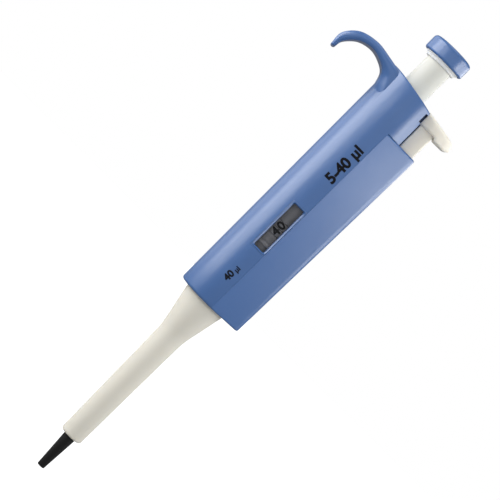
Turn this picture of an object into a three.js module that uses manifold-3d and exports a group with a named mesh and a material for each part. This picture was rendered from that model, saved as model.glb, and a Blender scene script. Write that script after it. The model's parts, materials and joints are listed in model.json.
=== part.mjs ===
// Adjustable 5 to 40 microlitre air-displacement micropipette, in millimetres.
// Z runs along the piston axis with the push button up, X points to the tip ejector and away from
// the finger hook, and the volume window faces -Y. The shapes are drawn from the centre of the
// nozzle's end, and the finished pipette is moved so that its origin is the top of the finger gap
// under the hook, where it rests on a finger or hangs from a stand.
import * as THREE from "three";
import { mergeVertices } from "three/addons/utils/BufferGeometryUtils.js";
import Module from "manifold-3d";

const wasm = await Module();
wasm.setup();

// ---------------------------------------------------------------- driving dimensions

const PLAY = 0.15; // radial gap between pieces that fit or slide in one another
const ROUND = 36; // facets round the big turned parts
const FINE = 20; // facets round the small turned parts
const REACH = 30; // half the size of a cutter that only has to be bigger than the handle

// Volume and travel: 40 microlitres is one measuring stroke of the piston.
const MEASURE_STROKE = 9.8;
const PISTON_R = 1.14;
const LEAD = 2.45; // stop travel for one turn of the button, which is 10 microlitres

// Handle
const HANDLE = { bottom: 92, r: 13, rim: 1.2, bore: 11, topBlock: 186, topBore: 8.6 };
const TOP = { atAxis: 206.4, slope: -0.18 }; // the slanted top face
const BUSH = { bore: 6.1, r: 6.85, bottom: 199.9, top: 203.7 };
const LEDGE = { bottom: 111.3, top: 114, r: 6.6 };
const HOOK = {
  rootHalfWidth: 9.8,
  tipHalfWidth: 6.6,
  edge: 1.3,
  over: [
    [-6, 206.4], [-13, 208.35], [-19, 209.25], [-24, 209.75],
    [-29.5, 208.7], [-34, 205.8], [-36.3, 200.9], [-36, 197.1],
  ],
  under: [
    [-8, 193], [-12.6, 197.4], [-14.4, 202.8], [-18.5, 205.55],
    [-23.4, 206.6], [-29, 205.1], [-33.2, 201], [-34, 197.3],
  ],
};
const HANG = { x: -23.4, z: 206.6 }; // the hook's inner apex
const WINDOW = { z: 132.4, length: 23.8, width: 7.4, frame: 0.75 };

// Ejector cover, the wing on the +X side. Towards its top its seam leans and its end flares outwards.
const WING = { seam: 3.25, lean: 1.05, tilt: 29, end: 17.2, flare: 2.3, top: 187.5, corner: 2.2, wall: 1 };
const SEAT_R = 12.2; // the round core that the cover sits on

// The flat that the ejector slides along, the recess for its thumb pad and the rail that guides it
const SLIDE = { flat: 10.3, recess: 9.2, recessBottom: 199.2, recessTop: 203.4 };
const RAIL = { right: 11.7, halfWidth: 1, play: 0.3 };

// Plunger
const SLEEVE = { r: 5.95, bore: 4.6, bottom: 194, top: 224.6 };
const BUTTON = { r: 9.4, bottom: 222.2, top: 228.8, round: 2.1 };
const RING = { bottom: 220, lowR: 6.4, highR: 8.4 };
const ROD = { flats: 4, bottom: 122, top: 226.8 };

// Volume mechanism
const DRUM = { r: 9.3, height: 2.9, tens: 129.1, units: 132.2, web: 8.6, bore: 3.1 };
const GEAR = { teeth: 32, pinionTeeth: 8, module: 0.5 };
const PINION_Y = (GEAR.module * (GEAR.teeth - GEAR.pinionTeeth)) / 2;
const CARRIER = { bottom: 119.6, plate: 123.5, plateTop: 125, flange: 10.6, bore: 3.2 };
const ROTOR = { hubBottom: 135.3, hubTop: 138.9, hubR: 7.5, top: 158, flats: 6.8, bore: 2.6 };
const HOUSING = { bore: 8.05, floorBore: 4.6, floorTop: 140.3, flangeBottom: 143.9 };
const STOP = { bottom: 140.6, top: 168, core: 6.2, cupFloor: 149.3, cup: 5.3, lip: 4.7, lipHeight: 1.5 };
const THREAD = { depth: 0.7, base: 1.1, crest: 0.7, gap: 0.25, top: 154 };
const NUT = { bottom: 146, top: 153, r: 10.6 };
const COLLAR = { r: 4.45, bottom: STOP.top - STOP.lipHeight + MEASURE_STROKE, height: 2 };
const PLATE = { bottom: 178.4, top: 181, r: 10.6 };
const POST = { r: 0.5, at: 9.9, bottom: 123.6, angles: [30, 150, 210] };
const PISTON = { bottom: 62, top: 118.2, plate: 119.4, headTop: 121.9, headR: 5.8 };

// Nozzle, seal stack and ejector
const NOZZLE = { endR: 1.65, coneR: 2.8, coneTop: 18, kink: 72.8, skirt: 91.8, top: 111 };
const NECK = { r: 7.2, flangeR: 9.4, flange: 2.3 };
const BORE = { orifice: 0.5, airway: 0.85, piston: 1.35, seal: 4.2, spring: 6.1 };
const SEAL = { bottom: 82, shoulder: 92.2 };
const TUBE = { bottom: 16.8, mouth: 2.95, lowR: 4.9, highR: 5.7, coneStart: 72.2, wall: 1.05 };
const SKIRT = { r: 9.3, bottom: 91.6, top: 104.6 };
const FLANGE = { bottom: 100.3, top: 101.6, r: 10.5 };
const ARM = { bottom: 101.9, top: 104.5, halfWidth: 3, end: 15.9 };
const EJECT_ROD = { x: 14.5, r: 1.3, bottom: 102, top: 170.5 };
const BAR = { left: 11, right: 18, halfWidth: 3.5, bottom: 158, full: 176 };
const PAD = { left: 10.5, top: 205.2, slope: -0.18, bottom: 199.2, tip: 26.4, halfWidth: 6 };
const GUIDE = { bottom: 121, top: 125, right: 16.4, halfWidth: 3.6 };
const ARM_SLOT = { left: 5, halfWidth: 3.9, top: 105.2 };

// ---------------------------------------------------------------- materials

const plastic = (color, roughness) => new THREE.MeshStandardMaterial({ color, roughness, metalness: 0 });
const metal = (color, roughness) => new THREE.MeshStandardMaterial({ color, roughness, metalness: 1 });
const BLUE = plastic(0x5f82bd, 0.42);
const CREAM = plastic(0xdcd8c8, 0.45);
const WHITE = plastic(0xeeeeea, 0.5);
const BLACK = plastic(0x191917, 0.5);
const RUBBER = plastic(0x23252a, 0.8);
const LENS = new THREE.MeshStandardMaterial({
  color: 0x9aa0a0,
  roughness: 0.08,
  transparent: true,
  opacity: 0.35,
});
const DRUM_METAL = metal(0x6c6864, 0.45);
const STEEL = metal(0xb9bcc0, 0.28);
const BRASS = metal(0xb79a56, 0.35);

// ---------------------------------------------------------------- geometry helpers

// A closed BufferGeometry as a manifold solid, turned to face outwards.
function solid(geometry) {
  const bare = geometry.clone();
  bare.deleteAttribute("normal");
  bare.deleteAttribute("uv");
  const merged = mergeVertices(bare, 1e-4);
  const vertProperties = merged.attributes.position.array;
  const triVerts = new Uint32Array(merged.index.array);
  const build = () => new wasm.Manifold(new wasm.Mesh({ numProp: 3, vertProperties, triVerts }));
  const made = build();
  if (made.volume() >= 0) return made;
  for (let i = 0; i < triVerts.length; i += 3) {
    [triVerts[i + 1], triVerts[i + 2]] = [triVerts[i + 2], triVerts[i + 1]];
  }
  return build();
}

// A manifold solid as a three.js geometry.
function geometryOf(shape) {
  const mesh = shape.getMesh();
  const geometry = new THREE.BufferGeometry();
  geometry.setAttribute("position", new THREE.BufferAttribute(new Float32Array(mesh.vertProperties), 3));
  geometry.setIndex(new THREE.BufferAttribute(new Uint32Array(mesh.triVerts), 1));
  geometry.computeVertexNormals();
  return geometry;
}

const cut = (shape, ...tools) => tools.reduce((rest, tool) => rest.subtract(tool), shape);
const join = (shape, ...others) => others.reduce((whole, other) => whole.add(other), shape);

// A turned solid about Z from [radius, height] pairs that close on themselves or end on the axis.
function turned(profile, segments = ROUND) {
  const points = profile.map(([r, z]) => new THREE.Vector2(r, z));
  if (profile[0][0] > 0) points.push(points[0].clone());
  return solid(new THREE.LatheGeometry(points, segments).rotateX(Math.PI / 2));
}

// A plain tube or, with no bore, a plain cylinder between two heights.
function ring(bore, r, bottom, top, segments = ROUND) {
  const outside = [[r, bottom], [r, top]];
  const inside = bore > 0 ? [[bore, top], [bore, bottom]] : [[0, top]];
  return turned(bore > 0 ? [...outside, ...inside] : [[0, bottom], ...outside, ...inside], segments);
}

// A cylinder about a vertical axis at (x, y).
const pin = (x, y, r, bottom, top, segments = 12) => ring(0, r, bottom, top, segments).translate([x, y, 0]);

const box = (x0, x1, y0, y1, z0, z1) =>
  solid(
    new THREE.BoxGeometry(x1 - x0, y1 - y0, z1 - z0).translate((x0 + x1) / 2, (y0 + y1) / 2, (z0 + z1) / 2),
  );

// A hexagonal bar about Z with the given width across flats.
function hexBar(flats, bottom, top) {
  const r = flats / 2 / Math.cos(Math.PI / 6);
  const bar = new THREE.CylinderGeometry(r, r, top - bottom, 6).rotateX(Math.PI / 2);
  return solid(bar.translate(0, 0, (bottom + top) / 2));
}

// An outline in the XY plane raised from bottom to top.
function raised(shape, bottom, top, curveSegments = 8) {
  const options = { depth: top - bottom, bevelEnabled: false, curveSegments };
  return new THREE.ExtrudeGeometry(shape, options).translate(0, 0, bottom);
}

// An outline in the XZ plane given thickness along Y, centred on Y = 0.
function profiled(shape, halfWidth, curveSegments = 8) {
  const options = { depth: 2 * halfWidth, bevelEnabled: false, curveSegments };
  return new THREE.ExtrudeGeometry(shape, options).rotateX(Math.PI / 2).translate(0, halfWidth, 0);
}

function outline(points) {
  const shape = new THREE.Shape();
  points.forEach(([x, y], i) => (i ? shape.lineTo(x, y) : shape.moveTo(x, y)));
  return shape;
}

// A closed skin over rings of points that all hold the same number of points.
function skinned(rings) {
  const count = rings[0].length;
  const position = rings.flat().flatMap((p) => [p.x, p.y, p.z]);
  const index = [];
  for (let i = 0; i + 1 < rings.length; i++) {
    for (let j = 0; j < count; j++) {
      const a = i * count + j;
      const b = i * count + ((j + 1) % count);
      index.push(a, b, b + count, a, b + count, a + count);
    }
  }
  const last = (rings.length - 1) * count;
  for (let j = 1; j + 1 < count; j++) {
    index.push(0, j + 1, j, last, last + j, last + j + 1);
  }
  const geometry = new THREE.BufferGeometry();
  geometry.setAttribute("position", new THREE.Float32BufferAttribute(position, 3));
  geometry.setIndex(index);
  return geometry;
}

// A coil spring whose end turns lie flat against each other, as on a ground spring.
function coilSpring({ mean, wire, bottom, top, turns, x = 0 }) {
  const perTurn = 12;
  const sides = 5;
  const rise = (top - bottom - wire * 3) / (turns - 2);
  const height = (t) => {
    const open = THREE.MathUtils.clamp(t - 1, 0, turns - 2);
    const closed = THREE.MathUtils.clamp(t, 0, 1) + THREE.MathUtils.clamp(t - turns + 1, 0, 1);
    return bottom + wire / 2 + closed * wire + open * rise;
  };
  const rings = [];
  for (let i = 0; i <= turns * perTurn; i++) {
    const t = i / perTurn;
    const angle = t * 2 * Math.PI;
    const loop = [];
    for (let j = 0; j < sides; j++) {
      const around = (j / sides) * 2 * Math.PI;
      const r = mean + (wire / 2) * Math.cos(around);
      const z = height(t) + (wire / 2) * 0.96 * Math.sin(around);
      loop.push(new THREE.Vector3(x + r * Math.cos(angle), r * Math.sin(angle), z));
    }
    rings.push(loop);
  }
  return solid(skinned(rings));
}

// One left-handed screw ridge from radius root to radius crest; a nut's ridge points inwards.
function threadRidge(root, crest, bottom, top, phase) {
  const perTurn = 16;
  const sink = Math.sign(root - crest) * 0.2; // the root reaches into the core so that the two join
  const rings = [];
  const turns = (top - bottom) / LEAD;
  for (let i = 0; i <= Math.ceil(turns * perTurn); i++) {
    const turn = i / perTurn;
    const angle = -2 * Math.PI * turn;
    const z = bottom + LEAD * (turn + phase);
    const corner = (r, dz) => new THREE.Vector3(r * Math.cos(angle), r * Math.sin(angle), z + dz);
    rings.push([
      corner(root + sink, -THREAD.base / 2),
      corner(crest, -THREAD.crest / 2),
      corner(crest, THREAD.crest / 2),
      corner(root + sink, THREAD.base / 2),
    ]);
  }
  return solid(skinned(rings));
}

// A toothed outline: tip and root radii, with the first tooth at the angle start.
function toothed(teeth, tip, root, tipWidth, rootWidth, start) {
  const points = [];
  for (let i = 0; i < teeth; i++) {
    const middle = start + (i / teeth) * 2 * Math.PI;
    const at = (r, width) => [r * Math.cos(middle + width / r), r * Math.sin(middle + width / r)];
    points.push(at(root, -rootWidth / 2), at(tip, -tipWidth / 2));
    points.push(at(tip, tipWidth / 2), at(root, rootWidth / 2));
  }
  return outline(points);
}

// Everything under the slanted top face, raised by an offset.
function underTop(offset) {
  const z = (x) => TOP.atAxis + offset + TOP.slope * x;
  return solid(profiled(outline([[-REACH, 0], [REACH, 0], [REACH, z(REACH)], [-REACH, z(-REACH)]]), REACH));
}

// ---------------------------------------------------------------- handle and covers

// How far the handle's round surface is from the XZ plane at x.
const onHandle = (x) => Math.sqrt(HANDLE.r ** 2 - x ** 2);

// The cover's outline at its bottom, inset by a wall thickness: its flanks close in by WING.tilt.
function wingSection(inset) {
  const tilt = THREE.MathUtils.degToRad(WING.tilt);
  const slope = Math.tan(tilt);
  const edge = onHandle(WING.seam) - inset / Math.cos(tilt);
  const x1 = WING.end - inset;
  const corner = Math.max(WING.corner - inset, 0.4);
  const flank = (x) => edge - (x - WING.seam) * slope;
  const shape = new THREE.Shape();
  shape.moveTo(WING.seam, -edge);
  shape.lineTo(x1 - corner, -flank(x1 - corner));
  shape.quadraticCurveTo(x1, -flank(x1), x1, -flank(x1) + corner);
  shape.lineTo(x1, flank(x1) - corner);
  shape.quadraticCurveTo(x1, flank(x1), x1 - corner, flank(x1 - corner));
  shape.lineTo(WING.seam, edge);
  shape.closePath();
  return shape;
}

// The wing leans outwards towards the top, its end more than its seam, and its seam stays on the
// handle's round surface.
function flared(geometry) {
  const p = geometry.attributes.position;
  const narrowing = 1 - onHandle(WING.seam + WING.lean) / onHandle(WING.seam);
  for (let i = 0; i < p.count; i++) {
    const share = THREE.MathUtils.clamp((p.getX(i) - WING.seam) / (WING.end - WING.seam), 0, 1);
    const height = (p.getZ(i) - HANDLE.bottom) / (WING.top - HANDLE.bottom);
    p.setX(i, p.getX(i) + height * THREE.MathUtils.lerp(WING.lean, WING.flare, share));
    p.setY(i, p.getY(i) * (1 - height * narrowing));
  }
  return geometry;
}

// A ring of points round a rounded rectangle whose middle line runs from one point to another
// in the XZ plane and whose depth along Y is twice the half width.
function rimRing(from, to, halfWidth, edge) {
  const steps = 2;
  const half = from.distanceTo(to) / 2;
  const along = to.clone().sub(from).normalize();
  const middle = from.clone().add(to).multiplyScalar(0.5);
  const r = Math.min(edge, half * 0.8);
  const loop = [];
  for (const [a, b, start] of [[1, 1, 0], [-1, 1, 1], [-1, -1, 2], [1, -1, 3]]) {
    for (let i = 0; i <= steps; i++) {
      const angle = (start + i / steps) * (Math.PI / 2);
      const u = a * (half - r) + r * Math.cos(angle);
      const v = b * (halfWidth - r) + r * Math.sin(angle);
      loop.push(new THREE.Vector3(middle.x + along.x * u, v, middle.y + along.y * u));
    }
  }
  return loop;
}

// The finger hook sweeps from inside the handle, over the finger gap, to its tip.
function fingerHook() {
  const steps = 16;
  const curve = (points) => new THREE.SplineCurve(points.map(([x, z]) => new THREE.Vector2(x, z)));
  const over = curve(HOOK.over);
  const under = curve(HOOK.under);
  const rings = [];
  for (let i = 0; i <= steps; i++) {
    const t = i / steps;
    const halfWidth = THREE.MathUtils.lerp(HOOK.rootHalfWidth, HOOK.tipHalfWidth, t ** 2);
    rings.push(rimRing(under.getPoint(t), over.getPoint(t), halfWidth, HOOK.edge));
  }
  const tip = [0.75, 0.35].map((share, i) => {
    const shift = -0.45 * (i + 1);
    return rings[steps].map((p) => {
      const middleX = (HOOK.over.at(-1)[0] + HOOK.under.at(-1)[0]) / 2;
      const x = THREE.MathUtils.lerp(middleX, p.x, share);
      return new THREE.Vector3(x, p.y * (1 - 0.04 * (i + 1)), p.z + shift);
    });
  });
  return solid(skinned([...rings, ...tip]));
}

// The core that the cover sits round, from below the handle to above the cover.
const coverSeat = (r) => ring(0, r, HANDLE.bottom - 2, WING.top + 2, 48);

function handleShell() {
  const { bottom, r, rim, bore, topBlock, topBore } = HANDLE;
  const above = 215;
  const body = turned([[0, bottom], [r - rim, bottom], [r, bottom + rim], [r, above], [0, above]], 48);
  const outside = join(body.intersect(underTop(0)), fingerHook());
  const cavity = turned([
    [0, bottom - 1],
    [bore, bottom - 1],
    [bore, LEDGE.bottom],
    [LEDGE.r, LEDGE.bottom],
    [LEDGE.r, LEDGE.top],
    [bore, LEDGE.top],
    [bore, topBlock],
    [topBore, topBlock + 1.5],
    [topBore, BUSH.bottom - 0.3],
    [BUSH.r + PLAY, BUSH.bottom - 0.3],
    [BUSH.r + PLAY, BUSH.top + PLAY],
    [BUSH.bore, BUSH.top + PLAY],
    [BUSH.bore, above],
    [0, above],
  ]);
  const seatTop = WING.top + PLAY;
  const seam = (z) => WING.seam - PLAY + (WING.lean * (z - bottom)) / (WING.top - bottom);
  const seatSide = outline([
    [seam(bottom - 1), bottom - 1],
    [REACH, bottom - 1],
    [REACH, seatTop],
    [seam(seatTop), seatTop],
  ]);
  const wingSeat = cut(solid(profiled(seatSide, REACH)), coverSeat(SEAT_R));
  const slideCut = join(
    box(SLIDE.flat, REACH, -REACH, REACH, WING.top, above),
    box(SLIDE.recess, REACH, -REACH, REACH, SLIDE.recessBottom, SLIDE.recessTop),
  );
  const rail = box(0, RAIL.right, -RAIL.halfWidth, RAIL.halfWidth, seatTop + 0.2, SLIDE.recessTop);
  const armHalf = ARM_SLOT.halfWidth;
  const armSlot = box(ARM_SLOT.left, REACH, -armHalf, armHalf, bottom - 1, ARM_SLOT.top);
  const barHalf = BAR.halfWidth + 0.3;
  const barSlot = box(bore - 0.2, REACH, -barHalf, barHalf, BAR.bottom - 10, seatTop);
  const opening = box(
    -WINDOW.width / 2, WINDOW.width / 2, -REACH, 0,
    WINDOW.z - WINDOW.length / 2, WINDOW.z + WINDOW.length / 2,
  );
  return cut(outside, cavity, wingSeat, cut(slideCut, rail), armSlot, barSlot, opening);
}

function ejectorCover() {
  const floor = 1;
  const lid = 1.3;
  const outer = solid(flared(raised(wingSection(0), HANDLE.bottom, WING.top)));
  const inner = solid(flared(raised(wingSection(WING.wall), HANDLE.bottom + floor, WING.top - lid)));
  const gap = 0.28;
  const barHalf = BAR.halfWidth + gap;
  const barOpening = box(0, BAR.right + gap, -barHalf, barHalf, WING.top - 2 * lid, WING.top + 1);
  return cut(outer, inner, coverSeat(SEAT_R + PLAY), barOpening);
}

// A band round the handle's axis between two radii, cut to the window's shape.
function windowBand(rIn, rOut, inset) {
  const half = WINDOW.width / 2 - inset;
  const tall = WINDOW.length / 2 - inset;
  const low = WINDOW.z - tall;
  const high = WINDOW.z + tall;
  return ring(rIn, rOut, low, high, 48).intersect(box(-half, half, -REACH, 0, low - 1, high + 1));
}

const windowFrame = () =>
  cut(windowBand(11.6, HANDLE.r + 0.25, PLAY), windowBand(HANDLE.bore, HANDLE.r + 1, PLAY + WINDOW.frame));

const windowPane = () => windowBand(11.8, 12.75, PLAY + WINDOW.frame + 0.06);

const guideBush = () => ring(BUSH.bore, BUSH.r, BUSH.bottom, BUSH.top, 28);

// ---------------------------------------------------------------- volume mechanism

// A vertical cylinder at one of the frame's posts.
function atPost(degrees, r, bottom, top) {
  const a = THREE.MathUtils.degToRad(degrees);
  return pin(POST.at * Math.cos(a), POST.at * Math.sin(a), r, bottom, top, 10);
}

const postHoles = () =>
  POST.angles.map((degrees) => atPost(degrees, POST.r + 0.12, CARRIER.bottom, PLATE.top + 1));

const framePost = (degrees) => atPost(degrees, POST.r, POST.bottom, PLATE.top - 0.1);

function counterCarrier() {
  const { bottom, plate, plateTop, flange, bore } = CARRIER;
  const top = DRUM.tens - PLAY;
  const body = turned([
    [bore, plate],
    [DRUM.web, plate],
    [DRUM.web, bottom],
    [DRUM.r, bottom],
    [DRUM.r, plate],
    [flange, plate],
    [flange, plateTop],
    [DRUM.r, plateTop],
    [DRUM.r, top],
    [bore, top],
  ], 28);
  return cut(body, pin(0, PINION_Y, 0.7, bottom, top + 1), ...postHoles());
}

function tensDrum() {
  const shape = new THREE.Shape();
  shape.absarc(0, 0, DRUM.r, 0, 2 * Math.PI, false);
  const pitch = (GEAR.module * GEAR.teeth) / 2;
  const gap = Math.PI / GEAR.teeth; // a gap between two teeth faces the pinion
  shape.holes.push(toothed(GEAR.teeth, pitch - 0.35, pitch + 0.45, 0.4, 0.7, Math.PI / 2 + gap));
  return solid(raised(shape, DRUM.tens, DRUM.tens + DRUM.height, 20));
}

function transferPinion() {
  const pitch = (GEAR.module * GEAR.pinionTeeth) / 2;
  const shape = toothed(GEAR.pinionTeeth, pitch + 0.35, pitch - 0.55, 0.35, 0.75, Math.PI / 2);
  const wheel = solid(raised(shape, DRUM.tens + 0.3, DRUM.units + 1.2));
  return cut(wheel, ring(0, 0.75, DRUM.tens, DRUM.units + 2, 12)).translate([0, PINION_Y, 0]);
}

const pinionShaft = () => pin(0, PINION_Y, 0.55, CARRIER.plate + 0.2, DRUM.units + 1.3, 12);

function unitsDrum() {
  const { r, units, height, web, bore } = DRUM;
  const plate = 1.1;
  return turned([
    [bore, units + height - plate],
    [web, units + height - plate],
    [web, units],
    [r, units],
    [r, units + height],
    [bore, units + height],
  ], 28);
}

function rotor() {
  const { hubBottom, hubTop, hubR, top, flats, bore } = ROTOR;
  const groove = 0.5;
  const grooveHalf = 0.6;
  const middle = (hubBottom + hubTop) / 2;
  const hub = turned([
    [0, hubBottom],
    [hubR, hubBottom],
    [hubR, middle - grooveHalf],
    [hubR - groove, middle - grooveHalf],
    [hubR - groove, middle + grooveHalf],
    [hubR, middle + grooveHalf],
    [hubR, hubTop],
    [0, hubTop],
  ], 28);
  const tube = hexBar(flats, hubTop - 0.5, top);
  const round = ring(0, bore, hubTop - 0.2, top + 1, 18);
  return cut(join(hub, tube), hexBar(ROD.flats + 0.4, hubBottom - 1, hubTop), round);
}

// A ring of round section, such as an O-ring.
function torus(r, sectionR, z, sides, segments) {
  const profile = [];
  for (let i = 0; i < sides; i++) {
    const a = ((i + 0.5) / sides) * 2 * Math.PI;
    profile.push([r + sectionR * Math.cos(a), z + sectionR * Math.sin(a)]);
  }
  return turned(profile, segments);
}

const frictionRing = () => torus(ROTOR.hubR - 0.02, 0.42, (ROTOR.hubBottom + ROTOR.hubTop) / 2, 6, 28);

function rotorHousing() {
  const { bore, floorBore, floorTop, flangeBottom } = HOUSING;
  const bottom = DRUM.units + DRUM.height + PLAY;
  const top = NUT.bottom - 0.1;
  const floorBottom = ROTOR.hubTop + 0.2;
  const tube = turned([
    [bore, bottom],
    [DRUM.r, bottom],
    [DRUM.r, flangeBottom],
    [NUT.r, flangeBottom],
    [NUT.r, top],
    [bore, top],
    [bore, floorTop],
    [floorBore, floorTop],
    [floorBore, floorBottom],
    [bore, floorBottom],
  ], 28);
  return cut(tube, ...postHoles());
}

function threadNut() {
  const root = STOP.core + THREAD.depth + THREAD.gap;
  const body = ring(root, NUT.r, NUT.bottom, NUT.top, 28);
  // Its ridge lies half a lead away from the stop sleeve's, so it runs in the sleeve's groove.
  const start = STOP.bottom - LEAD;
  const ridge = threadRidge(root, STOP.core + THREAD.gap, start, NUT.top + LEAD, 0.5);
  const slab = ring(STOP.core, NUT.r + 1, NUT.bottom + 0.2, NUT.top - 0.2, 28);
  return cut(join(body, ridge.intersect(slab)), ...postHoles());
}

function stopSleeve() {
  const { bottom, top, core, cupFloor, cup, lip, lipHeight } = STOP;
  const body = turned([
    [0, bottom],
    [core, bottom],
    [core, top],
    [lip, top],
    [lip, top - lipHeight],
    [cup, top - lipHeight],
    [cup, cupFloor],
    [0, cupFloor],
  ], 28);
  const start = bottom - LEAD;
  const ridge = threadRidge(core, core + THREAD.depth, start, THREAD.top + LEAD, 0);
  const slab = ring(core - 1, core + 2, bottom + 0.2, THREAD.top, 28);
  return cut(join(body, ridge.intersect(slab)), hexBar(ROTOR.flats + 0.4, bottom - 1, cupFloor + 1));
}

const topPlate = () => cut(ring(ROD.flats / 2 + 0.75, PLATE.r, PLATE.bottom, PLATE.top, 28), ...postHoles());

const blowoutSpring = () =>
  coilSpring({
    mean: 4.6,
    wire: 1,
    bottom: STOP.cupFloor + 0.05,
    top: STOP.top - STOP.lipHeight - 0.05,
    turns: 6,
  });

// ---------------------------------------------------------------- plunger and piston

function pushButton() {
  const { r, bottom, top, round } = BUTTON;
  const steps = 4;
  const profile = [[0, bottom], [r - 0.7, bottom], [r, bottom + 0.7]];
  for (let i = 0; i <= steps; i++) {
    const a = (i / steps) * (Math.PI / 2);
    profile.push([r - round + round * Math.cos(a), top - round + round * Math.sin(a)]);
  }
  profile.push([0, top]);
  const socket = ring(0, SLEEVE.r + PLAY, bottom - 1, SLEEVE.top + 0.2, 28);
  const rodSocket = hexBar(ROD.flats + 0.3, bottom, ROD.top + 0.2);
  return cut(turned(profile), socket, rodSocket);
}

const buttonRing = () =>
  turned([
    [SLEEVE.r + PLAY, RING.bottom],
    [RING.lowR, RING.bottom],
    [RING.highR, BUTTON.bottom - 0.5],
    [RING.highR, BUTTON.bottom - 0.05],
    [SLEEVE.r + PLAY, BUTTON.bottom - 0.05],
  ], 28);

function plungerSleeve() {
  const { r, bore, bottom, top } = SLEEVE;
  const collarBore = 2.9;
  const collar = 2.5;
  return turned([
    [bore, bottom],
    [r, bottom],
    [r, top],
    [collarBore, top],
    [collarBore, top - collar],
    [bore, top - collar],
  ], 28);
}

const plungerRod = () => hexBar(ROD.flats, ROD.bottom, ROD.top);

const rodCollar = () =>
  cut(
    ring(0, COLLAR.r, COLLAR.bottom, COLLAR.bottom + COLLAR.height, FINE),
    hexBar(ROD.flats + 0.2, COLLAR.bottom - 1, COLLAR.bottom + COLLAR.height + 1),
  );

function pistonHead() {
  const { top, plate, headTop, headR } = PISTON;
  const stemBottom = LEDGE.bottom + 0.7;
  const bore = 1.3;
  return turned([
    [0, top + 0.1],
    [bore, top + 0.1],
    [bore, stemBottom],
    [2.2, stemBottom],
    [2.6, plate],
    [headR, plate],
    [headR, headTop],
    [0, headTop],
  ], FINE);
}

const piston = () => ring(0, PISTON_R, PISTON.bottom, PISTON.top, 16);

const primarySpring = () =>
  coilSpring({
    mean: 5.1,
    wire: 0.8,
    bottom: SEAL.shoulder + 1.5,
    top: PISTON.plate - 0.1,
    turns: 9,
  });

// ---------------------------------------------------------------- nozzle and seal

function nozzleShaft() {
  const { endR, coneR, coneTop, kink, skirt, top } = NOZZLE;
  return turned([
    [BORE.orifice, 0],
    [endR - 0.2, 0],
    [endR, 0.3],
    [coneR, coneTop],
    [coneR + 0.1, kink - 4],
    [coneR + 0.6, kink],
    [NECK.r - 0.3, skirt],
    [NECK.r, skirt + 1],
    [NECK.r, top - NECK.flange],
    [NECK.flangeR, top - NECK.flange],
    [NECK.flangeR, top],
    [BORE.spring, top],
    [BORE.spring, SEAL.shoulder],
    [BORE.seal, SEAL.shoulder],
    [BORE.seal, SEAL.bottom],
    [BORE.piston, SEAL.bottom],
    [BORE.piston, 46],
    [BORE.airway, 45],
    [BORE.airway, 4],
    [BORE.orifice, 3],
  ], 28);
}

function shaftNut() {
  const knurls = 24;
  const shape = toothed(knurls, 10.75, 10.45, 1.1, 1.9, 0);
  const hole = new THREE.Path();
  hole.absarc(0, 0, NECK.r + PLAY, 0, 2 * Math.PI, true);
  shape.holes.push(hole);
  return solid(raised(shape, SKIRT.top + 0.3, NOZZLE.top - NECK.flange - 0.2, 20));
}

const pistonSeal = () => ring(PISTON_R + 0.12, BORE.seal - PLAY, SEAL.bottom + 0.1, SEAL.bottom + 3, FINE);

const pistonORing = () => torus(2.65, 1.25, SEAL.bottom + 4.4, 8, FINE);

function sealRetainer() {
  const bore = PISTON_R + 0.25;
  const bottom = SEAL.bottom + 5.8;
  return turned([
    [bore, bottom],
    [BORE.seal - PLAY, bottom],
    [BORE.seal - PLAY, SEAL.shoulder + 0.1],
    [BORE.spring - 0.25, SEAL.shoulder + 0.1],
    [BORE.spring - 0.25, SEAL.shoulder + 1.4],
    [bore, SEAL.shoulder + 1.4],
  ], FINE);
}

// ---------------------------------------------------------------- tip ejector

function ejectorSleeve() {
  const { bottom, mouth, lowR, highR, coneStart, wall } = TUBE;
  return turned([
    [mouth, bottom],
    [lowR - 0.9, bottom],
    [lowR - 0.25, bottom + 0.5],
    [lowR, bottom + 1.5],
    [highR, coneStart],
    [highR + 0.3, coneStart + 1.5],
    [SKIRT.r, SKIRT.bottom],
    [SKIRT.r, FLANGE.bottom],
    [FLANGE.r, FLANGE.bottom],
    [FLANGE.r, FLANGE.top],
    [SKIRT.r, FLANGE.top],
    [SKIRT.r, SKIRT.top],
    [SKIRT.r - wall, SKIRT.top],
    [SKIRT.r - wall, SKIRT.bottom],
    [highR - wall + 0.2, coneStart + 1],
    [lowR - wall, bottom + 2.5],
    [mouth, bottom + 1.5],
  ], 28);
}

function ejectorArm() {
  const inner = SKIRT.r + 0.15;
  const { bottom, top, halfWidth, end } = ARM;
  const tongue = box(inner, end, -halfWidth, halfWidth, bottom, top);
  const hub = ring(inner, FLANGE.r, bottom, top, 28);
  const centre = ring(0, inner, bottom - 1, top + 1, 28);
  const rodHole = pin(EJECT_ROD.x, 0, EJECT_ROD.r + PLAY, bottom - 1, top + 1, 16);
  return cut(join(hub, cut(tongue, centre)), rodHole);
}

const ejectorRod = () => pin(EJECT_ROD.x, 0, EJECT_ROD.r, EJECT_ROD.bottom, EJECT_ROD.top, 16);

// An open washer that snaps on to the rod below its guide.
function rodClip() {
  const { x, r } = EJECT_ROD;
  const bottom = GUIDE.bottom - 1.1;
  const top = GUIDE.bottom - 0.2;
  const grip = r - 0.1;
  return cut(
    pin(x, 0, 2.1, bottom, top, 16),
    pin(x, 0, r + 0.1, bottom - 1, top + 1, 16),
    box(x - grip, x + grip, 0, 4, bottom - 1, top + 1),
  );
}

function ejectorGuide() {
  const { bottom, top, right, halfWidth } = GUIDE;
  const block = cut(box(0, right, -halfWidth, halfWidth, bottom, top), coverSeat(SEAT_R + PLAY));
  return cut(block, pin(EJECT_ROD.x, 0, EJECT_ROD.r + 0.2, bottom - 1, top + 1, 16));
}

const ejectorSpring = () =>
  coilSpring({
    mean: 1.85,
    wire: 0.5,
    bottom: GUIDE.top + 0.1,
    top: BAR.bottom - 0.1,
    turns: 9,
    x: EJECT_ROD.x,
  });

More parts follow.
